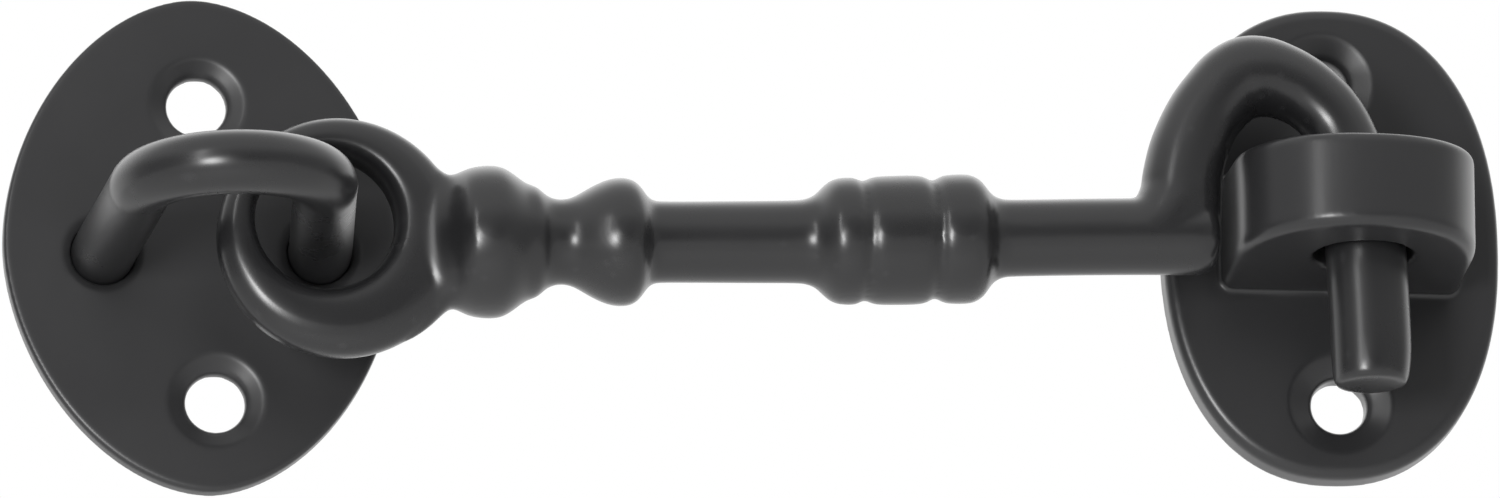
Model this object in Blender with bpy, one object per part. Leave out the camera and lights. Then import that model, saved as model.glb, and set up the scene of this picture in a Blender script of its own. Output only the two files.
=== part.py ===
"""Cabin hook (door holder) in black-coated cast metal, hooked in its catch.

Metres, +Z up. The two plates lie flat on one surface, their backs on y = 0 and their fronts
facing -Y. The origin is the centre of the eye plate's back; the arm runs along +X to the catch.
"""
import math

import bmesh
import bpy
from mathutils import Vector

MM = 0.001

# Eye plate: a thin oval pressing.
EYE_HALF = (17.15 * MM, 22.15 * MM)
EYE_CENTRE = (-0.47 * MM, 0.7 * MM)
EYE_TURN = math.radians(1.1)
EYE_POWER = 1.83
EYE_THICK = 2.0 * MM
EYE_SCREW_OFFSET = 13.35 * MM
EYE_SCREW_R = 2.6 * MM
EYE_SINK_R = 4.1 * MM
STAPLE_HOLE_R = 3.35 * MM
PEEN_SINK_R = 4.8 * MM
PEEN_DEPTH = 1.1 * MM

# Eye staple: a round rod bent to a U, its ends peened behind the plate.
STAPLE_X = 0.45 * MM
ROD_R = 2.75 * MM
LEG_BASE = 9.4 * MM
LEG_TOP = 7.95 * MM
LEG_HEIGHT = 19.5 * MM
PEEN_R = 4.2 * MM

# Arm: ring, turned beads, shaft, crook and pin in one casting.
ARM_Y = -13.6 * MM
RING_CENTRE = (10.3 * MM, -2.2 * MM)
RING_R = 10.6 * MM
RING_HALF_THICK = 2.5 * MM
HINGE = (9.05 * MM, -0.8 * MM)
EYE_HOLE_R = 6.05 * MM
ARM_Z = -2.5 * MM
ARM_BOW = 0.5 * MM
BOW_SPAN = (45.0 * MM, 82.0 * MM)
SHAFT_R = 3.32 * MM

# Catch: an oval plate and a bored lug in one casting.
CATCH_CENTRE = (98.28 * MM, 0.5 * MM)
CATCH_TURN = math.radians(-1.1)
CATCH_HALF = (14.78 * MM, 21.28 * MM)
CATCH_POWER = 2.25
CATCH_THICK = 3.4 * MM
CATCH_RIM = 0.9 * MM
CATCH_HOLES_CENTRE = (98.2 * MM, 0.4 * MM)
CATCH_SCREW_OFFSET = 14.45 * MM
CATCH_SCREW_R = 2.42 * MM
CATCH_SINK_R = 4.45 * MM
LUG_CENTRE = (98.93 * MM, 0.3 * MM)
LUG_TURN = math.radians(-1.6)
LUG_HALF_WIDTH = 10.43 * MM
LUG_DEPTH = 19.5 * MM
LUG_STRAIGHT = 8.0 * MM
LUG_BOTTOM = -4.35 * MM
LUG_TOP_BACK = 5.6 * MM
LUG_TOP_FRONT = 4.2 * MM
LUG_BORE = (0.37 * MM, 13.6 * MM)
LUG_BORE_R = 4.35 * MM

# The screw holes of each plate lie on a line that leans a little off its long axis.
EYE_HOLE_LEAN = math.radians(2.0)
CATCH_HOLE_LEAN = math.radians(0.9)
ROUND = 32
TUBE = 20

# Turned profile of the arm: distance along X and radius, in millimetres.
PROFILE = (
    (21.2, 6.25), (23.2, 6.58), (24.9, 6.3), (26.2, 5.4), (27.3, 4.75),
    (28.4, 4.05), (29.7, 3.58), (31.2, 4.0), (33.1, 5.1), (34.7, 5.5), (36.2, 5.1),
    (37.2, 4.0), (37.9, 3.55), (49.6, 3.55), (51.4, 3.85), (52.6, 4.95), (53.4, 5.38),
    (54.7, 5.5), (56.0, 5.26), (57.4, 5.54), (60.6, 5.58), (62.1, 5.18), (63.4, 5.56),
    (65.5, 5.56), (66.4, 5.1), (67.1, 4.0), (68.2, 3.42), (69.4, 3.32),
)
# Neck between the flat ring and the turned part: X, half thickness and half height.
NECK = (
    (14.5, 2.1, 9.3), (16.2, 2.4, 8.7), (17.6, 2.6, 7.8), (18.6, 3.0, 6.9), (19.4, 3.7, 6.25),
    (20.1, 4.7, 5.87), (20.6, 5.5, 6.0),
)
# Centreline of the crook from the corner above the shaft down to the pin: X, Z and radius.
CROOK = (
    (83.75, 1.3, 3.45), (83.85, 3.4, 3.5), (84.2, 5.3, 3.38), (84.95, 7.2, 3.3), (85.95, 9.0, 3.3),
    (87.2, 10.5, 3.38), (88.45, 11.7, 3.5), (89.8, 12.35, 3.62), (91.3, 12.4, 3.5),
    (92.8, 12.0, 3.3), (94.2, 11.35, 3.15), (95.4, 10.5, 3.05), (96.6, 9.3, 2.98),
    (97.5, 7.95, 2.95), (98.2, 6.2, 3.0), (98.75, 4.0, 3.2), (99.2, 1.0, 3.4), (99.5, -3.0, 3.5),
    (99.6, -12.0, 3.5),
)
CORNER = (83.6, -2.0)
PIN_END = ((99.5, -14.2, 3.35), (99.5, -15.3, 3.1))


def clear_scene():
    for obj in list(bpy.data.objects):
        bpy.data.objects.remove(obj, do_unlink=True)


def coated(name, colour, roughness):
    """A Principled material for a coated metal surface."""
    material = bpy.data.materials.new(name)
    material.use_nodes = True
    shader = material.node_tree.nodes["Principled BSDF"]
    shader.inputs["Base Color"].default_value = (*colour, 1.0)
    shader.inputs["Roughness"].default_value = roughness
    shader.inputs["Metallic"].default_value = 0.0
    return material


def loft(name, rings):
    """A closed body skinned through rings of equal length, capped at both ends."""
    mesh = bmesh.new()
    loops = [[mesh.verts.new(point) for point in ring] for ring in rings]
    count = len(loops[0])
    for first, second in zip(loops, loops[1:]):
        for i in range(count):
            j = (i + 1) % count
            mesh.faces.new((first[i], first[j], second[j], second[i]))
    mesh.faces.new(loops[0][::-1])
    mesh.faces.new(loops[-1])
    bmesh.ops.recalc_face_normals(mesh, faces=mesh.faces)
    data = bpy.data.meshes.new(name)
    mesh.to_mesh(data)
    mesh.free()
    data.shade_smooth()
    data.set_sharp_from_angle(angle=math.radians(35))
    obj = bpy.data.objects.new(name, data)
    bpy.context.collection.objects.link(obj)
    return obj


def ellipse(centre, side, up, half_side, half_up, count):
    """Points of an ellipse in the plane of the unit vectors side and up."""
    points = []
    for i in range(count):
        angle = math.tau * i / count
        points.append(centre + side * (half_side * math.cos(angle)) + up * (half_up * math.sin(angle)))
    return points


def turned(name, centre, stations, count=ROUND):
    """A body of revolution about a line along Y through centre (x, z)."""
    rings = [ellipse(Vector((centre[0], y, centre[1])), Vector((1, 0, 0)), Vector((0, 0, 1)),
                     radius, radius, count) for y, radius in stations]
    return loft(name, rings)


def cut(body, cutter, operation="DIFFERENCE"):
    modifier = body.modifiers.new(operation.title(), "BOOLEAN")
    modifier.operation = operation
    modifier.solver = "EXACT"
    modifier.object = cutter
    cutter.hide_render = True
    cutter.display_type = "WIRE"


def oval(centre, half, power, angle, y, inset=0.0, count=64):
    """Points of an oval plate outline at depth y; the power sets how pointed or square it is."""
    points = []
    for i in range(count):
        c, s = math.cos(math.tau * i / count), math.sin(math.tau * i / count)
        x = math.copysign(abs(c) ** (2 / power), c) * (half[0] - inset)
        z = math.copysign(abs(s) ** (2 / power), s) * (half[1] - inset)
        points.append(turn((centre[0] + x, y, centre[1] + z), angle, centre))
    return points


def turn(point, angle, centre):
    """Turn a point about a line along Y through centre; positive tips +X towards +Z."""
    x, z = point[0] - centre[0], point[2] - centre[1]
    c, s = math.cos(angle), math.sin(angle)
    return Vector((centre[0] + x * c - z * s, point[1], centre[1] + x * s + z * c))


def screw_cutter(name, centre, front, hole_r, sink_r):
    """Countersunk screw hole along Y, open at both faces of a plate whose front is at y = front."""
    depth = sink_r - hole_r
    stations = ((MM, hole_r), (front + depth, hole_r), (front, sink_r), (front - MM, sink_r + MM))
    return turned(name, centre, stations)


def screw_centres(centre, offset, angle):
    """Centres of the lower and the upper screw hole."""
    return [(centre[0] - side * offset * math.sin(angle), centre[1] + side * offset * math.cos(angle))
            for side in (-1, 1)]


def make_eye_plate():
    rings = [oval(EYE_CENTRE, EYE_HALF, EYE_POWER, EYE_TURN, y) for y in (0.0, -EYE_THICK)]
    plate = loft("eye_plate", rings)
    centres = screw_centres((0.0, 0.0), EYE_SCREW_OFFSET, EYE_HOLE_LEAN)
    for index, centre in enumerate(centres):
        cut(plate, screw_cutter(f"eye_screw_cut_{index}", centre, -EYE_THICK, EYE_SCREW_R, EYE_SINK_R))
    for index, side in enumerate((-1, 1)):
        stations = ((MM, PEEN_SINK_R + MM), (0.0, PEEN_SINK_R), (-PEEN_DEPTH, STAPLE_HOLE_R),
                    (-EYE_THICK - MM, STAPLE_HOLE_R))
        cut(plate, turned(f"staple_cut_{index}", (STAPLE_X + side * LEG_BASE, 0.0), stations))
    return plate


def staple_leg(side):
    """Stations (centre, direction, radius) of one leg, from its peened end to the arch."""
    base_x = STAPLE_X + side * LEG_BASE
    top_x = STAPLE_X + side * LEG_TOP
    out = Vector((0, -1, 0))
    lean = Vector((top_x - base_x, -LEG_HEIGHT, 0)).normalized()
    return [
        (Vector((base_x, -0.1 * MM, 0)), out, PEEN_R),
        (Vector((base_x, -0.3 * MM, 0)), out, PEEN_R),
        (Vector((base_x, -PEEN_DEPTH - 0.35 * MM, 0)), out, ROD_R),
        (Vector((base_x, -EYE_THICK - 0.4 * MM, 0)), out, ROD_R),
        (Vector((base_x, -EYE_THICK, 0)) + lean * LEG_HEIGHT / 2, lean, ROD_R),
        (Vector((top_x, -EYE_THICK - LEG_HEIGHT, 0)), lean, ROD_R),
    ]


def make_eye_staple():
    left, right = staple_leg(-1), staple_leg(1)
    arch = []
    steps = 12
    for i in range(1, steps):
        angle = math.pi * i / steps
        centre = Vector((STAPLE_X - LEG_TOP * math.cos(angle),
                         -EYE_THICK - LEG_HEIGHT - LEG_TOP * math.sin(angle), 0))
        arch.append((centre, Vector((math.sin(angle), -math.cos(angle), 0)), ROD_R))
    stations = left + arch + [(centre, -along, radius) for centre, along, radius in right[::-1]]
    up = Vector((0, 0, 1))
    rings = [ellipse(centre, up.cross(along), up, radius, radius, TUBE)
             for centre, along, radius in stations]
    return loft("eye_staple", rings)


def axis_z(x):
    """Height of the arm's axis, which bows up a little towards the crook."""
    t = min(max((x - BOW_SPAN[0]) / (BOW_SPAN[1] - BOW_SPAN[0]), 0.0), 1.0)
    return ARM_Z + ARM_BOW * t * t * (3 - 2 * t)


def make_shank():
    """Neck, beads and shaft, turned up through a mitred corner into the crook and the pin."""
    y_axis = Vector((0, 1, 0))
    rings = []
    for x, half_thick, half_high in NECK:
        centre = Vector((x * MM, ARM_Y, axis_z(x * MM)))
        rings.append(ellipse(centre, y_axis, Vector((0, 0, 1)), half_thick * MM, half_high * MM, TUBE))
    for x, radius in PROFILE:
        centre = Vector((x * MM, ARM_Y, axis_z(x * MM)))
        rings.append(ellipse(centre, y_axis, Vector((0, 0, 1)), radius * MM, radius * MM, TUBE))
    corner = Vector((CORNER[0] * MM, ARM_Y, CORNER[1] * MM))
    mitre = Vector((-1, 0, 1)).normalized()
    rings.append(ellipse(corner, y_axis, mitre, SHAFT_R, SHAFT_R * math.sqrt(2), TUBE))
    line = [Vector((x * MM, ARM_Y, z * MM)) for x, z, _ in CROOK]
    for i, centre in enumerate(line):
        before = line[i - 1] if i else corner
        after = line[i + 1] if i + 1 < len(line) else centre + Vector((0, 0, -MM))
        along = (after - before).normalized()
        normal = along.cross(y_axis)
        radius = CROOK[i][2] * MM
        rings.append(ellipse(centre, y_axis, normal, radius, radius, TUBE))
    for x, z, radius in PIN_END:
        centre = Vector((x * MM, ARM_Y, z * MM))
        rings.append(ellipse(centre, y_axis, Vector((1, 0, 0)), radius * MM, radius * MM, TUBE))
    return loft("arm", rings)


def make_ring():
    """Solid disc with a rounded rim for the arm's ring; its eye is cut afterwards."""
    stations = []
    steps = 6
    for i in range(steps + 1):
        angle = math.pi * i / steps
        y = ARM_Y + RING_HALF_THICK * math.cos(angle)
        edge = RING_R - RING_HALF_THICK + RING_HALF_THICK * math.sin(angle)
        stations.append((y, edge))
    return turned("ring_union", RING_CENTRE, stations, 40)


def make_arm():
    arm = make_shank()
    cut(arm, make_ring(), "UNION")
    flare = 1.1 * MM
    stations = ((ARM_Y + 8 * MM, EYE_HOLE_R + 5 * MM), (ARM_Y + RING_HALF_THICK, EYE_HOLE_R + flare),
                (ARM_Y + 1.2 * MM, EYE_HOLE_R), (ARM_Y - 1.2 * MM, EYE_HOLE_R),
                (ARM_Y - RING_HALF_THICK, EYE_HOLE_R + flare), (ARM_Y - 8 * MM, EYE_HOLE_R + 5 * MM))
    cut(arm, turned("eye_cut", HINGE, stations))
    return arm


def lug_outline(z_back, z_front):
    """Plan outline of the lug, straight at the sides and rounded in front."""
    points = []
    arc = LUG_DEPTH - LUG_STRAIGHT
    steps = 12
    for i in range(steps + 1):
        angle = math.pi * i / steps
        x = LUG_HALF_WIDTH * math.copysign(abs(math.cos(angle)) ** 0.9, math.cos(angle))
        points.append((x, LUG_STRAIGHT + arc * math.sin(angle) ** 0.9))
    points.append((-LUG_HALF_WIDTH, -MM))
    points.append((LUG_HALF_WIDTH, -MM))
    ring = []
    for x, depth in points:
        z = z_back + (z_front - z_back) * max(depth, 0.0) / LUG_DEPTH
        local = Vector((LUG_CENTRE[0] + x, -CATCH_THICK - depth, LUG_CENTRE[1] + z))
        ring.append(turn(local, LUG_TURN, LUG_CENTRE))
    return ring


def make_catch_plate():
    rim = CATCH_RIM
    stations = ((0.0, 0.2 * MM), (-0.3 * MM, 0.0), (-CATCH_THICK + rim, 0.0),
                (-CATCH_THICK + 0.4 * rim, 0.25 * rim), (-CATCH_THICK, rim))
    rings = [oval(CATCH_CENTRE, CATCH_HALF, CATCH_POWER, CATCH_TURN, y, inset) for y, inset in stations]
    plate = loft("catch_plate", rings)
    cut(plate, loft("lug_union", [lug_outline(LUG_BOTTOM, LUG_BOTTOM + 0.5 * MM),
                                  lug_outline(LUG_TOP_BACK, LUG_TOP_FRONT)]), "UNION")
    centres = screw_centres(CATCH_HOLES_CENTRE, CATCH_SCREW_OFFSET, CATCH_HOLE_LEAN)
    for index, hole in enumerate(centres):
        cut(plate, screw_cutter(f"catch_screw_cut_{index}", hole, -CATCH_THICK,
                                CATCH_SCREW_R, CATCH_SINK_R))
    bore = Vector((LUG_CENTRE[0] + LUG_BORE[0], -LUG_BORE[1], LUG_CENTRE[1]))
    rings = [ellipse(bore + Vector((0, 0, z)), Vector((1, 0, 0)), Vector((0, 1, 0)),
                     LUG_BORE_R, LUG_BORE_R, ROUND) for z in (-12 * MM, 12 * MM)]
    cut(plate, loft("bore_cut", rings))
    return plate


def main():
    clear_scene()
    black = (0.028, 0.029, 0.031)
    finishes = {"eye_plate": 0.42, "eye_staple": 0.34, "arm": 0.34, "catch_plate": 0.38}
    nodes = [make_eye_plate(), make_eye_staple(), make_arm(), make_catch_plate()]
    for node in nodes:
        node.data.materials.append(coated(f"{node.name}_coating", black, finishes[node.name]))


main()
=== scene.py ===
import math

import bmesh
import bpy
from mathutils import Matrix, Vector


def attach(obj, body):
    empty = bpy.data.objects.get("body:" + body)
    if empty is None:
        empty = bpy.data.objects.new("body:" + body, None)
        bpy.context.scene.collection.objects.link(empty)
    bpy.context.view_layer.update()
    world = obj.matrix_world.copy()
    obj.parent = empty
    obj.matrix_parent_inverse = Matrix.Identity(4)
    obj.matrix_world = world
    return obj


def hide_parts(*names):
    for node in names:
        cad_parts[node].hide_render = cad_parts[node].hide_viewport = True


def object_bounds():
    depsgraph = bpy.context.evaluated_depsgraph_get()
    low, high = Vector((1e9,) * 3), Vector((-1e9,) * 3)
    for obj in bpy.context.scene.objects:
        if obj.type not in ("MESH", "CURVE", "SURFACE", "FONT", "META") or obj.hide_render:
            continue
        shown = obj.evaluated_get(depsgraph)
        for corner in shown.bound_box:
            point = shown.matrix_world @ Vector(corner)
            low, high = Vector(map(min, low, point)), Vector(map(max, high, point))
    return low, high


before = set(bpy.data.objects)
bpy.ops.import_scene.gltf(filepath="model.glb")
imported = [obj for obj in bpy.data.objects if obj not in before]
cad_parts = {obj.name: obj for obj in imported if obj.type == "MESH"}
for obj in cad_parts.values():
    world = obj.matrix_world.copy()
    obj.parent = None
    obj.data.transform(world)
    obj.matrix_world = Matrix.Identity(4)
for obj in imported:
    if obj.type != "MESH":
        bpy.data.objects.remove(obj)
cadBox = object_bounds()
mm = 0.001
roundSteps = 96    # sides of a drilled hole

# small helpers


def newObject(name, data):
    piece = bpy.data.objects.new(name, data)
    bpy.context.scene.collection.objects.link(piece)
    return piece


def loftRings(name, rings, closed=False):
    # skins equal rings; a closed loft joins its last ring to its first, an open one gets end caps
    mesh = bmesh.new()
    loops = [[mesh.verts.new(point) for point in ring] for ring in rings]
    pairs = list(zip(loops, loops[1:]))
    if closed:
        pairs.append((loops[-1], loops[0]))
    count = len(loops[0])
    for first, second in pairs:
        for i in range(count):
            j = (i + 1) % count
            mesh.faces.new((first[i], first[j], second[j], second[i]))
    if not closed:
        mesh.faces.new(loops[0][::-1])
        mesh.faces.new(loops[-1])
    bmesh.ops.recalc_face_normals(mesh, faces=mesh.faces)
    data = bpy.data.meshes.new(name)
    mesh.to_mesh(data)
    mesh.free()
    data.shade_smooth()
    return newObject(name, data)


def onCircle(i, steps):
    # the cosine and sine of one step of a whole circle
    angle = math.tau * i / steps
    return math.cos(angle), math.sin(angle)


def turnedCutter(centre, stations):
    # a turned shape along Y, from stations of (y, radius)
    circle = [onCircle(i, roundSteps) for i in range(roundSteps)]
    rings = []
    for y, radius in stations:
        rings.append([(centre[0] + radius * c, y, centre[1] + radius * s) for c, s in circle])
    return loftRings("cutter", rings)


def flatten(piece):
    # the evaluated mesh takes the place of the piece's modifiers
    graph = bpy.context.evaluated_depsgraph_get()
    mesh = bpy.data.meshes.new_from_object(piece.evaluated_get(graph))
    name = piece.name
    bpy.data.objects.remove(piece)
    mesh.shade_smooth()
    return newObject(name, mesh)


def cutAway(piece, cutters):
    for cutter in cutters:
        knife = piece.modifiers.new("cut", "BOOLEAN")
        knife.solver = "EXACT"
        knife.object = cutter
    piece = flatten(piece)
    for cutter in cutters:
        bpy.data.objects.remove(cutter)
    return piece


def joinShells(name, shells):
    mesh = bmesh.new()
    for shell in shells:
        mesh.from_mesh(shell.data)
        bpy.data.objects.remove(shell)
    data = bpy.data.meshes.new(name)
    mesh.to_mesh(data)
    mesh.free()
    return newObject(name, data)


def castTogether(piece, size):
    # one skin over all the shells, then soft edges as a thick coat leaves them
    skin = piece.modifiers.new("skin", "REMESH")
    skin.mode = "VOXEL"
    skin.voxel_size = size["voxel"]
    skin.adaptivity = 0.0
    skin.use_smooth_shade = True
    soften = piece.modifiers.new("soften", "SMOOTH")
    soften.factor = 0.5
    soften.iterations = size["softening"]
    return flatten(piece)


def finishPiece(piece, body, node, material):
    piece.data.materials.clear()
    piece.data.materials.append(material)
    for face in piece.data.polygons:
        face.material_index = 0
    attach(piece, body)
    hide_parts(node)
    print("made", piece.name, len(piece.data.polygons), "faces")


def smoothLine(points, step):
    # a smooth curve through the points, sampled about every step; the radii are smoothed with it
    out = []
    for i in range(len(points) - 1):
        before = points[max(i - 1, 0)]
        start, end = points[i], points[i + 1]
        after = points[min(i + 2, len(points) - 1)]
        length = math.dist(start, end)
        count = max(1, round(length / step))
        for k in range(count):
            t = k / count
            out.append(tuple(
                0.5 * (2 * b + (c - a) * t + (2 * a - 5 * b + 4 * c - d) * t * t
                       + (3 * b - a - 3 * c + d) * t * t * t)
                for a, b, c, d in zip(before, start, end, after)))
    out.append(tuple(points[-1]))
    return out


# geometry nodes for swept round bars


def sweptBarTree():
    # a round bar along an edge path, its radius read from the path's own attribute
    tree = bpy.data.node_groups.new("sweptBar", "GeometryNodeTree")
    face = tree.interface
    face.new_socket("Path", in_out="INPUT", socket_type="NodeSocketGeometry")
    thickness = face.new_socket("Thickness", in_out="INPUT", socket_type="NodeSocketFloat")
    thickness.default_value = 1.0
    sides = face.new_socket("Sides", in_out="INPUT", socket_type="NodeSocketInt")
    sides.default_value = 48
    face.new_socket("Coating", in_out="INPUT", socket_type="NodeSocketMaterial")
    face.new_socket("Bar", in_out="OUTPUT", socket_type="NodeSocketGeometry")
    nodes, links = tree.nodes, tree.links
    given = nodes.new("NodeGroupInput")
    result = nodes.new("NodeGroupOutput")
    toCurve = nodes.new("GeometryNodeMeshToCurve")
    radius = nodes.new("GeometryNodeInputNamedAttribute")
    radius.data_type = "FLOAT"
    radius.inputs["Name"].default_value = "barRadius"
    scaled = nodes.new("ShaderNodeMath")
    scaled.operation = "MULTIPLY"
    circle = nodes.new("GeometryNodeCurvePrimitiveCircle")
    circle.inputs["Radius"].default_value = 1.0
    sweep = nodes.new("GeometryNodeCurveToMesh")
    sweep.inputs["Fill Caps"].default_value = True
    realize = nodes.new("GeometryNodeRealizeInstances")
    coat = nodes.new("GeometryNodeSetMaterial")
    links.new(given.outputs["Path"], toCurve.inputs["Mesh"])
    links.new(radius.outputs["Attribute"], scaled.inputs[0])
    links.new(given.outputs["Thickness"], scaled.inputs[1])
    links.new(given.outputs["Sides"], circle.inputs["Resolution"])
    links.new(toCurve.outputs["Curve"], sweep.inputs["Curve"])
    links.new(circle.outputs["Curve"], sweep.inputs["Profile Curve"])
    links.new(scaled.outputs["Value"], sweep.inputs["Scale"])
    links.new(sweep.outputs["Mesh"], realize.inputs["Geometry"])
    links.new(realize.outputs["Geometry"], coat.inputs["Geometry"])
    links.new(given.outputs["Coating"], coat.inputs["Material"])
    links.new(coat.outputs["Geometry"], result.inputs["Bar"])
    return tree


def sweepBar(name, tree, stations, sides, material):
    # stations are (x, y, z, radius) along the bar
    mesh = bpy.data.meshes.new(name)
    edges = [(i, i + 1) for i in range(len(stations) - 1)]
    mesh.from_pydata([point[:3] for point in stations], edges, [])
    radii = mesh.attributes.new("barRadius", "FLOAT", "POINT")
    radii.data.foreach_set("value", [point[3] for point in stations])
    bar = newObject(name, mesh)
    sweep = bar.modifiers.new("sweep", "NODES")
    sweep.node_group = tree
    inputs = [item for item in tree.interface.items_tree if item.in_out == "INPUT"]
    sockets = {item.name: item.identifier for item in inputs}
    sweep[sockets["Thickness"]] = 1.0
    sweep[sockets["Sides"]] = sides
    sweep[sockets["Coating"]] = material
    bar = flatten(bar)
    weld = bmesh.new()
    weld.from_mesh(bar.data)
    bmesh.ops.remove_doubles(weld, verts=weld.verts, dist=0.001 * mm)
    bmesh.ops.recalc_face_normals(weld, faces=weld.faces)
    weld.to_mesh(bar.data)
    weld.free()
    bar.data.shade_smooth()
    return bar


# the coating, shared by all the pieces


def socketGroup(name, inputs, outputs):
    group = bpy.data.node_groups.new(name, "ShaderNodeTree")
    for label, value in inputs:
        socket = group.interface.new_socket(label, in_out="INPUT", socket_type="NodeSocketFloat")
        socket.default_value = value
    for label in outputs:
        group.interface.new_socket(label, in_out="OUTPUT", socket_type="NodeSocketFloat")
    return group, group.nodes.new("NodeGroupInput"), group.nodes.new("NodeGroupOutput")


def noiseIn(group, coords, scale, detail):
    noise = group.nodes.new("ShaderNodeTexNoise")
    noise.inputs["Detail"].default_value = detail
    group.links.new(coords.outputs["Object"], noise.inputs["Vector"])
    group.links.new(scale, noise.inputs["Scale"])
    return noise.outputs["Fac"]


def mathIn(group, operation, first, second):
    node = group.nodes.new("ShaderNodeMath")
    node.operation = operation
    for socket, value in zip(node.inputs, (first, second)):
        if isinstance(value, (int, float)):
            socket.default_value = value
        else:
            group.links.new(value, socket)
    return node.outputs["Value"]


def coatGrainGroup():
    # the fine orange peel of a baked coat, over the slow waves of the metal below it
    inputs = (("Peel Scale", 1900.0), ("Wave Scale", 170.0), ("Wave Share", 0.8))
    group, given, result = socketGroup("coatGrain", inputs, ("Height",))
    coords = group.nodes.new("ShaderNodeTexCoord")
    peel = noiseIn(group, coords, given.outputs["Peel Scale"], 2.0)
    wave = noiseIn(group, coords, given.outputs["Wave Scale"], 1.0)
    share = mathIn(group, "MULTIPLY", wave, given.outputs["Wave Share"])
    group.links.new(mathIn(group, "ADD", peel, share), result.inputs["Height"])
    return group


def handlingGroup():
    # where hands and dust have dulled the coat a little: 0 clean, 1 dull
    inputs = (("Patch Scale", 85.0), ("Speck Scale", 1500.0), ("Speck Share", 0.1))
    group, given, result = socketGroup("handling", inputs, ("Dull",))
    coords = group.nodes.new("ShaderNodeTexCoord")
    patch = noiseIn(group, coords, given.outputs["Patch Scale"], 3.0)
    speck = noiseIn(group, coords, given.outputs["Speck Scale"], 1.0)
    share = mathIn(group, "MULTIPLY", speck, given.outputs["Speck Share"])
    group.links.new(mathIn(group, "ADD", patch, share), result.inputs["Dull"])
    return group


def paintedRimHighlightGroup():
    # painted highlight on the outer edges, a lighter colour on every ridge: 1 on a ridge, 0 on a flat
    group, given, result = socketGroup("thinEdge", (("Softness", 5.0),), ("Edge",))
    shape = group.nodes.new("ShaderNodeNewGeometry")
    raised = mathIn(group, "SUBTRACT", shape.outputs["Pointiness"], 0.5)    # 0.5 is flat
    grown = mathIn(group, "MULTIPLY", raised, given.outputs["Softness"])
    low = mathIn(group, "MAXIMUM", grown, 0.0)
    group.links.new(mathIn(group, "MINIMUM", low, 1.0), result.inputs["Edge"])
    return group


def coating(name, groups, look):
    grain, handling, edge = groups
    material = bpy.data.materials.new(name)
    material.use_nodes = True
    tree = material.node_tree
    shader = tree.nodes["Principled BSDF"]
    shader.inputs["Metallic"].default_value = 0.0
    shader.inputs["IOR"].default_value = look["ior"]

    def place(group, values):
        node = tree.nodes.new("ShaderNodeGroup")
        node.node_tree = group
        for label, value in values.items():
            node.inputs[label].default_value = value
        return node

    peel = place(grain, {
        "Peel Scale": look["peelScale"],
        "Wave Scale": look["waveScale"],
        "Wave Share": look["waveShare"],
    })
    dull = place(handling, {
        "Patch Scale": look["patchScale"],
        "Speck Scale": look["speckScale"],
        "Speck Share": look["speckShare"],
    })
    # painted highlight on the rims, stronger the sharper the ridge
    thin = place(edge, {"Softness": look["edgeSoftness"]})

    bump = tree.nodes.new("ShaderNodeBump")
    bump.inputs["Strength"].default_value = look["bump"]
    bump.inputs["Distance"].default_value = look["bumpDepth"]
    tree.links.new(peel.outputs["Height"], bump.inputs["Height"])
    tree.links.new(bump.outputs["Normal"], shader.inputs["Normal"])

    rough = tree.nodes.new("ShaderNodeMapRange")
    rough.inputs["From Min"].default_value = look["dullRange"][0]
    rough.inputs["From Max"].default_value = look["dullRange"][1]
    rough.inputs["To Min"].default_value = look["roughness"][0]
    rough.inputs["To Max"].default_value = look["roughness"][1]
    tree.links.new(dull.outputs["Dull"], rough.inputs["Value"])
    tree.links.new(rough.outputs["Result"], shader.inputs["Roughness"])

    colour = tree.nodes.new("ShaderNodeMix")
    colour.data_type = "RGBA"
    colour.inputs["A"].default_value = (*look["colour"], 1.0)
    colour.inputs["B"].default_value = (*look["dulled"], 1.0)
    tree.links.new(dull.outputs["Dull"], colour.inputs["Factor"])
    # painted highlight: a lighter base colour mixed in on the ridges
    rimHighlighted = tree.nodes.new("ShaderNodeMix")
    rimHighlighted.data_type = "RGBA"
    rimHighlighted.inputs["B"].default_value = (*look["thin"], 1.0)
    tree.links.new(colour.outputs["Result"], rimHighlighted.inputs["A"])
    tree.links.new(thin.outputs["Edge"], rimHighlighted.inputs["Factor"])
    tree.links.new(rimHighlighted.outputs["Result"], shader.inputs["Base Color"])
    return material


blackCoat = {
    "colour": (0.0105, 0.0105, 0.0112),
    "dulled": (0.0135, 0.0135, 0.0142),
    # painted highlight: the colour of the rims, lighter than the coat
    "thin": (0.019, 0.019, 0.02),
    "ior": 1.5,
    "roughness": (0.24, 0.34),    # clean, dulled
    "dullRange": (0.3, 0.9),
    "peelScale": 1900.0,
    "waveScale": 170.0,
    "waveShare": 0.8,
    "patchScale": 85.0,
    "speckScale": 1500.0,
    "speckShare": 0.1,
    "edgeSoftness": 5.0,
    "bump": 0.05,
    "bumpDepth": 0.01 * mm,
}
castCoat = {
    **blackCoat,
    "colour": (0.0185, 0.0185, 0.0194),
    "dulled": (0.0215, 0.0215, 0.0224),
    "ior": 1.45,
}
plateCoat = {**castCoat, "roughness": (0.32, 0.42), "waveShare": 0.3}
rodCoat = {**blackCoat, "roughness": (0.25, 0.34), "waveShare": 0.5}
catchCoat = {**castCoat, "roughness": (0.28, 0.37)}
groups = (coatGrainGroup(), handlingGroup(), paintedRimHighlightGroup())
plateBlack = coating("plateBlack", groups, plateCoat)
rodBlack = coating("rodBlack", groups, rodCoat)
armBlack = coating("armBlack", groups, blackCoat)
catchBlack = coating("catchBlack", groups, catchCoat)
barTree = sweptBarTree()
print("coatings ready")

# plates: outline, rim and screw holes

outlineSteps = 256
rimSteps = 6    # rings in a rounded edge


def turnAbout(point, angle, centre):
    x, z = point[0] - centre[0], point[2] - centre[1]
    c, s = math.cos(angle), math.sin(angle)
    return (centre[0] + x * c - z * s, point[1], centre[1] + x * s + z * c)


def squared(value, power):
    # squares off a sine or cosine, for an outline fuller or leaner than an ellipse
    return math.copysign(abs(value) ** (2 / power), value)


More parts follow.
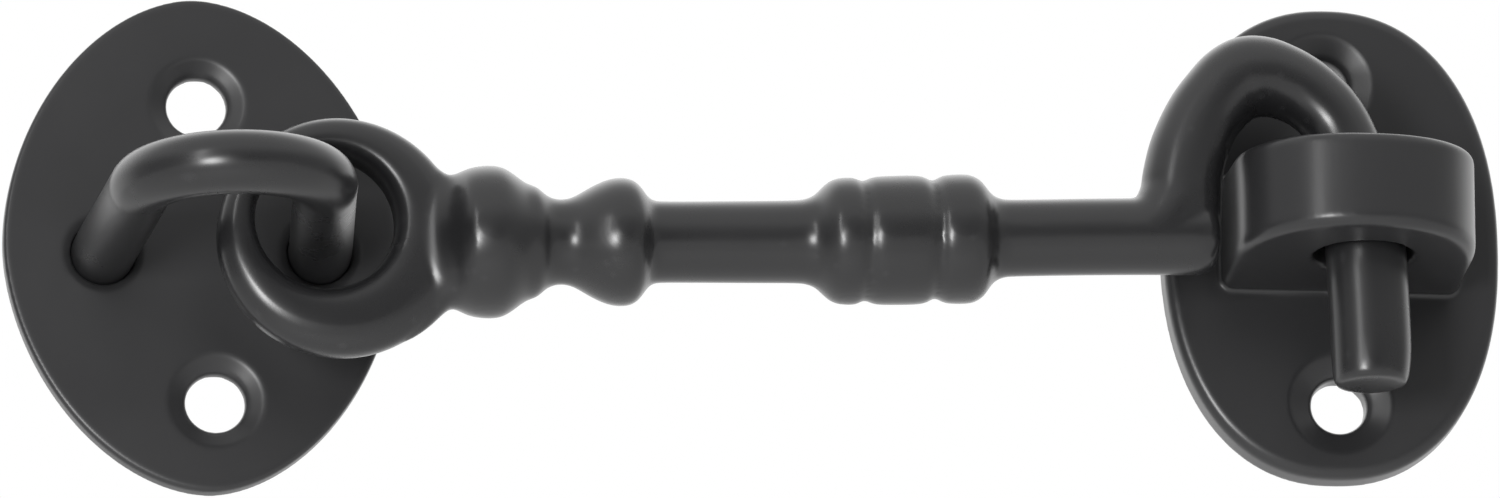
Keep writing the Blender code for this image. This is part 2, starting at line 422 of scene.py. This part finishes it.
def ovalRing(plate, y, inset):
    ring = []
    centre = plate["centre"]
    for i in range(outlineSteps):
        c, s = onCircle(i, outlineSteps)
        x = squared(c, plate["power"]) * (plate["half"][0] - inset)
        z = squared(s, plate["power"]) * (plate["half"][1] - inset)
        ring.append(turnAbout((centre[0] + x, y, centre[1] + z), plate["turn"], centre))
    return ring


def plateBlank(name, plate):
    # a flat back, a rim rounded in front and a small radius behind
    back, rim = plate["backRadius"], plate["rimRadius"]
    angles = [math.pi / 2 * k / rimSteps for k in range(rimSteps + 1)]
    rings = []
    for angle in angles:
        rings.append(ovalRing(plate, -back * (1 - math.cos(angle)), back * (1 - math.sin(angle))))
    for angle in angles:
        y = -plate["thick"] + rim * (1 - math.sin(angle))
        rings.append(ovalRing(plate, y, rim * (1 - math.cos(angle))))
    return loftRings(name, rings)


# a countersink from the hole outwards: how far across and how deep, as shares of its width
sinkDish = (
    (0.0, 0.64), (0.1, 0.48), (0.2, 0.41), (0.9, 0.075), (1.0, 0.025), (1.08, 0.0), (1.3, -0.4),
)
pastBack = 1 * mm    # how far a cutter comes out behind a plate


def screwHole(plate, side):
    # countersunk in a soft dish, steep at the hole and almost flat at the lip
    offset, lean = plate["screwOffset"], plate["holeLean"]
    middle = plate["holesCentre"]
    x = middle[0] - side * offset * math.sin(lean)
    z = middle[1] + side * offset * math.cos(lean)
    front, hole = -plate["thick"], plate["holeRadius"]
    width = plate["sinkRadius"] - hole
    stations = [(pastBack, hole)]
    stations += [(front + depth * width, hole + out * width) for out, depth in sinkDish]
    return turnedCutter((x, z), stations)


eyePlateSize = {
    "centre": (-0.47 * mm, 0.7 * mm),
    "half": (17.15 * mm, 22.15 * mm),
    "turn": math.radians(1.1),
    "power": 1.83,
    "thick": 2.0 * mm,
    "rimRadius": 0.35 * mm,
    "backRadius": 0.3 * mm,
    "holesCentre": (0.0, 0.0),
    "screwOffset": 13.35 * mm,
    "holeLean": math.radians(2.0),
    "holeRadius": 2.6 * mm,
    "sinkRadius": 4.1 * mm,
    "stapleX": 0.45 * mm,
    "legSpread": 9.4 * mm,
    "stapleHole": 2.83 * mm,
    # the worn edge of a staple hole: depth below the face, distance out from the hole
    "holeEdge": ((0.3, 0.0), (0.22, 0.25), (0.05, 0.62), (-1.0, 1.1)),
    "peenSink": 4.8 * mm,
    "peenDepth": 1.1 * mm,
    "voxel": 0.21 * mm,
    "softening": 4,
}


def makeEyePlate():
    size = eyePlateSize
    plate = plateBlank("eyePlate", size)
    cutters = [screwHole(size, side) for side in (-1, 1)]
    front, hole, sink = -size["thick"], size["stapleHole"], size["peenSink"]
    stations = [(pastBack, sink + pastBack), (0.0, sink), (-size["peenDepth"], hole)]
    stations += [(front + depth * mm, hole + out * mm) for depth, out in size["holeEdge"]]
    for side in (-1, 1):
        cutters.append(turnedCutter((size["stapleX"] + side * size["legSpread"], 0.0), stations))
    plate = cutAway(plate, cutters)
    plate = castTogether(plate, size)
    finishPiece(plate, "plates", "eye_plate", plateBlack)


makeEyePlate()

# staple: one rod bent to a U

stapleSize = {
    "middleX": 0.45 * mm,
    "rod": 2.75 * mm,
    "legBase": 9.4 * mm,
    "legTop": 7.95 * mm,
    "legBow": 0.12,
    "legHeight": 19.5 * mm,
    "plateThick": 2.0 * mm,
    "footReach": 0.2 * mm,    # the straight foot stands this far out of the plate
    # the peened end in millimetres, from the back of the plate: depth, radius
    "peen": ((0.1, 4.0), (0.16, 4.14), (0.25, 4.2), (0.4, 4.15), (1.35, 2.83), (1.6, 2.75)),
    "legSteps": 30,
    "archSteps": 72,
    "sides": 64,
}


def stapleLeg(side):
    size = stapleSize
    baseX = size["middleX"] + side * size["legBase"]
    topX = size["middleX"] + side * size["legTop"]
    leg = [(baseX, -depth * mm, 0.0, radius * mm) for depth, radius in size["peen"]]
    foot = -size["plateThick"] - size["footReach"]
    top = -size["plateThick"] - size["legHeight"]
    for k in range(size["legSteps"] + 1):
        t = k / size["legSteps"]
        lean = t * t * (3 - 2 * t) * size["legBow"] + t * (1 - size["legBow"])
        leg.append((baseX + (topX - baseX) * lean, foot + (top - foot) * t, 0.0, size["rod"]))
    return leg


def makeStaple():
    size = stapleSize
    arch = []
    top = -size["plateThick"] - size["legHeight"]
    for k in range(1, size["archSteps"]):
        angle = math.pi * k / size["archSteps"]
        x = size["middleX"] - size["legTop"] * math.cos(angle)
        arch.append((x, top - size["legTop"] * math.sin(angle), 0.0, size["rod"]))
    stations = stapleLeg(-1) + arch + stapleLeg(1)[::-1]
    staple = sweepBar("eyeStaple", barTree, stations, size["sides"], rodBlack)
    finishPiece(staple, "plates", "eye_staple", rodBlack)


makeStaple()

# arm: ring, neck, beads, shaft, crook and pin

armSize = {
    "axisY": -13.6 * mm,
    "axisZ": -2.5 * mm,
    "bow": 0.5 * mm,    # the shaft rises this much over bowSpan
    "bowSpan": (45.0 * mm, 82.0 * mm),
    "ringCentre": (10.3 * mm, -2.2 * mm),
    "ringRadius": 10.6 * mm,
    "ringHalf": 2.5 * mm,
    "eyeCentre": (9.05 * mm, -0.8 * mm),
    "eyeRadius": 6.05 * mm,
    "ringPower": 2.7,
    "ringSlope": 0.2,
    # the eye cut through the neck, to each side of its middle: distance, growth of the radius
    "eyeProfile": ((8.0, 5.0), (2.5, 1.1), (1.2, 0.05)),
    "ringSteps": 180,
    "ringSides": 48,
    # stations in millimetres: x, half thickness, half height
    "neck": (
        (14.5, 2.1, 9.3), (16.2, 2.4, 8.7), (17.6, 2.6, 7.8), (18.6, 3.0, 6.9), (19.3, 3.6, 6.25),
        (19.9, 4.4, 5.87), (20.5, 5.35, 5.95)),
    # stations in millimetres: x, radius
    "turned": (
        (21.2, 6.22), (21.8, 6.42), (22.4, 6.52), (23.2, 6.58), (24.1, 6.5), (24.8, 6.2), (25.4, 5.8),
        (25.9, 5.42), (26.3, 5.14), (26.8, 4.93), (27.3, 4.76), (27.7, 4.45), (28.2, 4.02), (28.8, 3.75),
        (29.5, 3.66), (30.1, 3.74), (30.7, 3.95), (31.4, 4.35), (32.2, 4.8), (33.1, 5.22), (33.9, 5.46),
        (34.7, 5.53), (35.4, 5.44), (36.0, 5.12), (36.5, 4.55), (36.9, 4.0), (37.4, 3.63), (38.4, 3.52),
        (44.0, 3.53), (49.6, 3.58), (50.8, 3.72), (51.5, 4.0), (52.2, 4.65), (52.8, 5.15), (53.5, 5.42),
        (54.5, 5.5), (55.0, 5.46), (55.7, 5.12), (56.4, 5.42), (57.1, 5.54), (58.8, 5.58), (60.3, 5.56),
        (61.1, 5.42), (61.8, 5.03), (62.5, 5.42), (63.2, 5.56), (64.2, 5.6), (65.0, 5.54), (65.6, 5.3),
        (66.1, 4.9), (66.6, 4.2), (67.1, 3.7), (67.8, 3.42), (69.0, 3.33), (76.0, 3.32), (82.0, 3.34),
        (84.4, 3.34), (85.4, 3.22), (86.1, 2.85), (86.6, 2.1), (86.8, 1.0)),
    # stations in millimetres: x, height, radius
    "crook": (
        (77.5, -2.0, 3.0), (79.6, -1.95, 3.22), (81.6, -1.3, 3.45), (82.85, 0.0, 3.58), (83.5, 1.6, 3.53),
        (83.75, 3.2, 3.48), (84.25, 5.3, 3.42), (85.0, 7.2, 3.36), (85.98, 9.0, 3.33), (87.2, 10.5, 3.38),
        (88.45, 11.7, 3.5), (89.8, 12.35, 3.62), (91.3, 12.4, 3.5), (92.8, 12.0, 3.3), (94.2, 11.35, 3.15),
        (95.4, 10.5, 3.05), (96.6, 9.3, 2.98), (97.5, 7.95, 2.95), (98.2, 6.2, 3.0), (98.75, 4.0, 3.2),
        (99.2, 1.0, 3.4), (99.5, -3.0, 3.5), (99.6, -8.0, 3.52), (99.6, -12.0, 3.5), (99.5, -14.2, 3.35),
        (99.5, -15.0, 3.18), (99.5, -15.24, 3.06), (99.5, -15.33, 2.85), (99.5, -15.36, 2.4),
        (99.5, -15.38, 1.0)),
    "heel": (
        (83.55, -2.5, 2.9), (83.6, -1.6, 3.25), (83.65, -0.4, 3.36), (83.7, 1.2, 3.42),
        (83.78, 3.0, 3.42)),
    "sides": 72,
    "step": 0.35,
    "voxel": 0.235 * mm,
    "softening": 7,
}


def axisHeight(x):
    start, end = armSize["bowSpan"]
    t = min(max((x - start) / (end - start), 0.0), 1.0)
    return armSize["axisZ"] + armSize["bow"] * t * t * (3 - 2 * t)    # level at both ends


def makeRing():
    # the eye sits off the middle of the ring, so the band is widest towards the neck
    size = armSize
    eye, outer = Vector(size["eyeCentre"]), Vector(size["ringCentre"])
    back = eye - outer
    rings = []
    for i in range(size["ringSteps"]):
        way = Vector(onCircle(i, size["ringSteps"]))
        along = back.dot(way)
        reach = -along + math.sqrt(along * along - back.length_squared + size["ringRadius"] ** 2)
        middle, half = (reach + size["eyeRadius"]) / 2, (reach - size["eyeRadius"]) / 2
        ring = []
        for k in range(size["ringSides"]):
            c, s = onCircle(k, size["ringSides"])
            across = middle + half * squared(c, size["ringPower"])
            thick = size["ringHalf"] * (1 - size["ringSlope"] * c)    # thinner at its outer edge
            y = size["axisY"] + thick * squared(s, size["ringPower"])
            ring.append((eye.x + way.x * across, y, eye.y + way.y * across))
        rings.append(ring)
    return loftRings("ring", rings, closed=True)


def makeNeck():
    # from the ring's flat band to the round of the first bead
    size = armSize
    firstBead = [(x, radius, radius) for x, radius in size["turned"][:3]]
    rings = []
    for x, thick, high in smoothLine(list(size["neck"]) + firstBead, size["step"]):
        ring = []
        for k in range(size["sides"]):
            c, s = onCircle(k, size["sides"])
            y, z = size["axisY"] + thick * mm * c, axisHeight(x * mm) + high * mm * s
            ring.append((x * mm, y, z))
        rings.append(ring)
    neck = loftRings("neck", rings)
    y, radius = size["axisY"], size["eyeRadius"]
    behind = [(y + out * mm, radius + more * mm) for out, more in size["eyeProfile"]]
    before = [(y - out * mm, radius + more * mm) for out, more in size["eyeProfile"][::-1]]
    return cutAway(neck, [turnedCutter(size["eyeCentre"], behind + before)])


def armBar(name, stations):
    points = [(x * mm, armSize["axisY"], z, radius * mm) for x, z, radius in stations]
    return sweepBar(name, barTree, points, armSize["sides"], armBlack)


def makeArm():
    size = armSize
    turned = smoothLine(size["turned"], size["step"])
    shells = [makeRing(), makeNeck()]
    shells.append(armBar("turned", [(x, axisHeight(x * mm), radius) for x, radius in turned]))
    for run in ("crook", "heel"):
        points = smoothLine(size[run], size["step"])
        shells.append(armBar(run, [(x, z * mm, radius) for x, z, radius in points]))
    arm = joinShells("hookArm", shells)
    arm = castTogether(arm, size)
    finishPiece(arm, "arm", "arm", armBlack)


makeArm()

# catch: plate and bored lug in one casting

catchSize = {
    "centre": (98.28 * mm, 0.5 * mm),
    "half": (14.78 * mm, 21.28 * mm),
    "turn": math.radians(-1.1),
    "power": 2.25,
    "thick": 3.4 * mm,
    "rimRadius": 0.95 * mm,
    "backRadius": 0.3 * mm,
    "holesCentre": (98.2 * mm, 0.4 * mm),
    "screwOffset": 14.45 * mm,
    "holeLean": math.radians(0.9),
    "holeRadius": 2.42 * mm,
    "sinkRadius": 4.45 * mm,
    "lugCentre": (98.93 * mm, 0.3 * mm),
    "lugTurn": math.radians(-1.6),
    "lugHalf": 10.43 * mm,
    "lugDepth": 19.5 * mm,
    "lugStraight": 8.0 * mm,
    "lugRoot": 1.0 * mm,    # how far the lug reaches into the plate
    "lugRound": 0.9,
    "lugBottom": (-4.35 * mm, -3.85 * mm),    # heights at the plate and at the front
    "lugTop": (5.7 * mm, 4.45 * mm),
    "lugEdge": (1.0 * mm, 0.7 * mm),    # lower and upper
    "noseSteps": 96,
    "sideSteps": 12,
    "bore": (0.37 * mm, 13.6 * mm),
    "boreRadius": 4.35 * mm,
    "boreReach": 12.0 * mm,
    "voxel": 0.2 * mm,
    "softening": 6,
}


def lugRing(fromTop, offset, inset):
    # plan outline of the lug, drawn in all round by inset, offset from its top or its bottom face
    size = catchSize
    half, depth = size["lugHalf"] - inset, size["lugDepth"] - inset
    straight, root = size["lugStraight"], -size["lugRoot"]
    noseSteps, sideSteps = size["noseSteps"], size["sideSteps"]
    plan = []
    for i in range(noseSteps + 1):
        c, s = math.cos(math.pi * i / noseSteps), math.sin(math.pi * i / noseSteps)
        x = half * math.copysign(abs(c) ** size["lugRound"], c)
        plan.append((x, straight + (depth - straight) * max(s, 0.0) ** size["lugRound"]))
    side = [straight + (root - straight) * k / sideSteps for k in range(1, sideSteps + 1)]
    plan += [(-half, deep) for deep in side]
    plan += [(half, deep) for deep in side[::-1]]
    centre = size["lugCentre"]
    back, front = size["lugTop"] if fromTop else size["lugBottom"]
    ring = []
    for x, deep in plan:
        face = back + (front - back) * max(deep, 0.0) / size["lugDepth"]
        height = face - offset if fromTop else face + offset
        point = (centre[0] + x, -size["thick"] - deep, centre[1] + height)
        ring.append(turnAbout(point, size["lugTurn"], centre))
    return ring


def makeLug():
    size = catchSize
    lower, upper = size["lugEdge"]
    turns = [math.pi / 2 * k / rimSteps for k in range(rimSteps + 1)]
    rings = [lugRing(False, lower * (1 - math.cos(a)), lower * (1 - math.sin(a))) for a in turns]
    turns.reverse()
    rings += [lugRing(True, upper * (1 - math.cos(a)), upper * (1 - math.sin(a))) for a in turns]
    lug = loftRings("lug", rings)
    bore = Vector((size["lugCentre"][0] + size["bore"][0], -size["bore"][1], size["lugCentre"][1]))
    radius, reach = size["boreRadius"], size["boreReach"]
    circle = [onCircle(i, roundSteps) for i in range(roundSteps)]
    rings = []
    for z in (bore.z - reach, bore.z + reach):
        rings.append([(bore.x + radius * c, bore.y + radius * s, z) for c, s in circle])
    return cutAway(lug, [loftRings("bore", rings)])


def makeCatch():
    size = catchSize
    plate = cutAway(plateBlank("plate", size), [screwHole(size, side) for side in (-1, 1)])
    catch = joinShells("catchPlate", [plate, makeLug()])
    catch = castTogether(catch, size)
    finishPiece(catch, "plates", "catch_plate", catchBlack)


makeCatch()

# stage: pale floor, white studio, soft lights

studio = {
    "floorHeight": -0.62,
    "floorSize": 6.0,
    "floorColour": (0.74, 0.74, 0.74),
    "floorRoughness": 0.9,
    "tent": 0.47,
    # light that the tent adds towards one side: axis, where it starts, where it is full, how much
    "fromBelow": ("Z", -0.2, -0.9, 0.2),
    "fromAbove": ("Z", 0.2, 0.7, 0.9),
    "fromBehind": ("Y", 0.1, 0.6, 1.15),
    "fromRight": ("X", 0.35, 0.9, 0.1),
    # a dark card in front, which the faces turned forwards reflect
    "darkTowards": (0.13, -0.98, -0.10),
    "darkWidth": (0.93, 0.995),
    "darkAmount": 0.5,
    "boxDistance": 0.9,
}
boxes = {
    "leftBox": {"towards": (-0.44, -0.87, -0.15), "width": 0.2, "height": 0.24, "power": 5.0},
    "tallBox": {"towards": (-0.57, -0.77, 0.28), "width": 0.1, "height": 0.5, "power": 1.2},
}


def makeFloor():
    # clear from below, so that it never hides the object
    mesh = bmesh.new()
    bmesh.ops.create_grid(mesh, x_segments=1, y_segments=1, size=studio["floorSize"] / 2)
    data = bpy.data.meshes.new("studioFloor")
    mesh.to_mesh(data)
    mesh.free()
    floor = newObject("studioFloor", data)
    floor.location.z = studio["floorHeight"]
    material = bpy.data.materials.new("palePaper")
    material.use_nodes = True
    tree = material.node_tree
    shader = tree.nodes["Principled BSDF"]
    shader.inputs["Base Color"].default_value = (*studio["floorColour"], 1.0)
    shader.inputs["Roughness"].default_value = studio["floorRoughness"]
    shader.inputs["Specular IOR Level"].default_value = 0.0
    clear = tree.nodes.new("ShaderNodeBsdfTransparent")
    side = tree.nodes.new("ShaderNodeNewGeometry")
    mix = tree.nodes.new("ShaderNodeMixShader")
    tree.links.new(side.outputs["Backfacing"], mix.inputs["Fac"])
    tree.links.new(shader.outputs["BSDF"], mix.inputs[1])
    tree.links.new(clear.outputs["BSDF"], mix.inputs[2])
    tree.links.new(mix.outputs["Shader"], tree.nodes["Material Output"].inputs["Surface"])
    data.materials.append(material)


def makeWorld():
    # plain white to look at, a tent of uneven light for the object
    world = bpy.data.worlds.new("whiteTent")
    bpy.context.scene.world = world
    world.use_nodes = True
    tree = world.node_tree
    nodes, links = tree.nodes, tree.links
    seen = nodes["Background"]
    seen.inputs["Color"].default_value = (1.0, 1.0, 1.0, 1.0)
    seen.inputs["Strength"].default_value = 1.0
    lit = nodes.new("ShaderNodeBackground")
    coords = nodes.new("ShaderNodeTexCoord")
    facing = nodes.new("ShaderNodeVectorMath")
    facing.operation = "DOT_PRODUCT"
    facing.inputs[1].default_value = Vector(studio["darkTowards"]).normalized()
    links.new(coords.outputs["Generated"], facing.inputs[0])
    split = nodes.new("ShaderNodeSeparateXYZ")
    links.new(coords.outputs["Generated"], split.inputs["Vector"])

    def ramp(value, low, high, start, end):
        node = nodes.new("ShaderNodeMapRange")
        node.interpolation_type = "SMOOTHSTEP"
        node.inputs["From Min"].default_value = low
        node.inputs["From Max"].default_value = high
        node.inputs["To Min"].default_value = start
        node.inputs["To Max"].default_value = end
        links.new(value, node.inputs["Value"])
        return node.outputs["Result"]

    def combine(operation, first, second):
        node = nodes.new("ShaderNodeMath")
        node.operation = operation
        links.new(first, node.inputs[0])
        links.new(second, node.inputs[1])
        return node.outputs["Value"]

    axis, low, high, amount = studio["fromBelow"]
    total = ramp(split.outputs[axis], low, high, studio["tent"], studio["tent"] + amount)
    for side in ("fromAbove", "fromBehind", "fromRight"):
        axis, low, high, amount = studio[side]
        total = combine("ADD", total, ramp(split.outputs[axis], low, high, 0.0, amount))
    dark = ramp(facing.outputs["Value"], *studio["darkWidth"], 1.0, 1.0 - studio["darkAmount"])
    links.new(combine("MULTIPLY", total, dark), lit.inputs["Strength"])
    path = nodes.new("ShaderNodeLightPath")
    mix = nodes.new("ShaderNodeMixShader")
    links.new(path.outputs["Is Camera Ray"], mix.inputs["Fac"])
    links.new(lit.outputs["Background"], mix.inputs[1])
    links.new(seen.outputs["Background"], mix.inputs[2])
    links.new(mix.outputs["Shader"], nodes["World Output"].inputs["Surface"])


def softBox(name, box, aim):
    data = bpy.data.lights.new(name, "AREA")
    data.shape = "RECTANGLE"
    data.size = box["width"]
    data.size_y = box["height"]
    data.energy = box["power"]
    light = newObject(name, data)
    way = Vector(box["towards"]).normalized()
    light.location = aim + way * studio["boxDistance"]
    light.rotation_euler = way.to_track_quat("Z", "Y").to_euler()
    light.visible_camera = False


makeFloor()
makeWorld()
for boxName, box in boxes.items():
    softBox(boxName, box, (cadBox[0] + cadBox[1]) / 2)
print("studio ready")

# camera: a long lens, a little below and to the left

lens = {
    "azimuth": math.radians(-7.476),
    "elevation": math.radians(-16.14),
    "roll": math.radians(-2.09),
    "distance": 1.6,
    "aim": Vector((0.04771, 0.00065, 0.00104)),
    "focal": 441.6,
    "sensor": 36.0,
    "clip": (0.05, 60.0),
}


def makeCamera():
    az, el = lens["azimuth"], lens["elevation"]
    back = Vector((math.sin(az) * math.cos(el), -math.cos(az) * math.cos(el), math.sin(el)))
    level = Vector((math.cos(az), math.sin(az), 0.0))
    right = level * math.cos(lens["roll"]) + back.cross(level) * math.sin(lens["roll"])
    up = back.cross(right)
    data = bpy.data.cameras.new("longLensCamera")
    data.lens = lens["focal"]
    data.sensor_width = lens["sensor"]
    data.clip_start, data.clip_end = lens["clip"]
    camera = newObject("longLensCamera", data)
    camera.matrix_world = Matrix((right, up, back)).transposed().to_4x4()
    camera.location = lens["aim"] + back * lens["distance"]
    bpy.context.scene.camera = camera


makeCamera()
bpy.context.scene.view_settings.view_transform = "Standard"
bpy.context.scene.view_settings.look = "None"

print("finished")
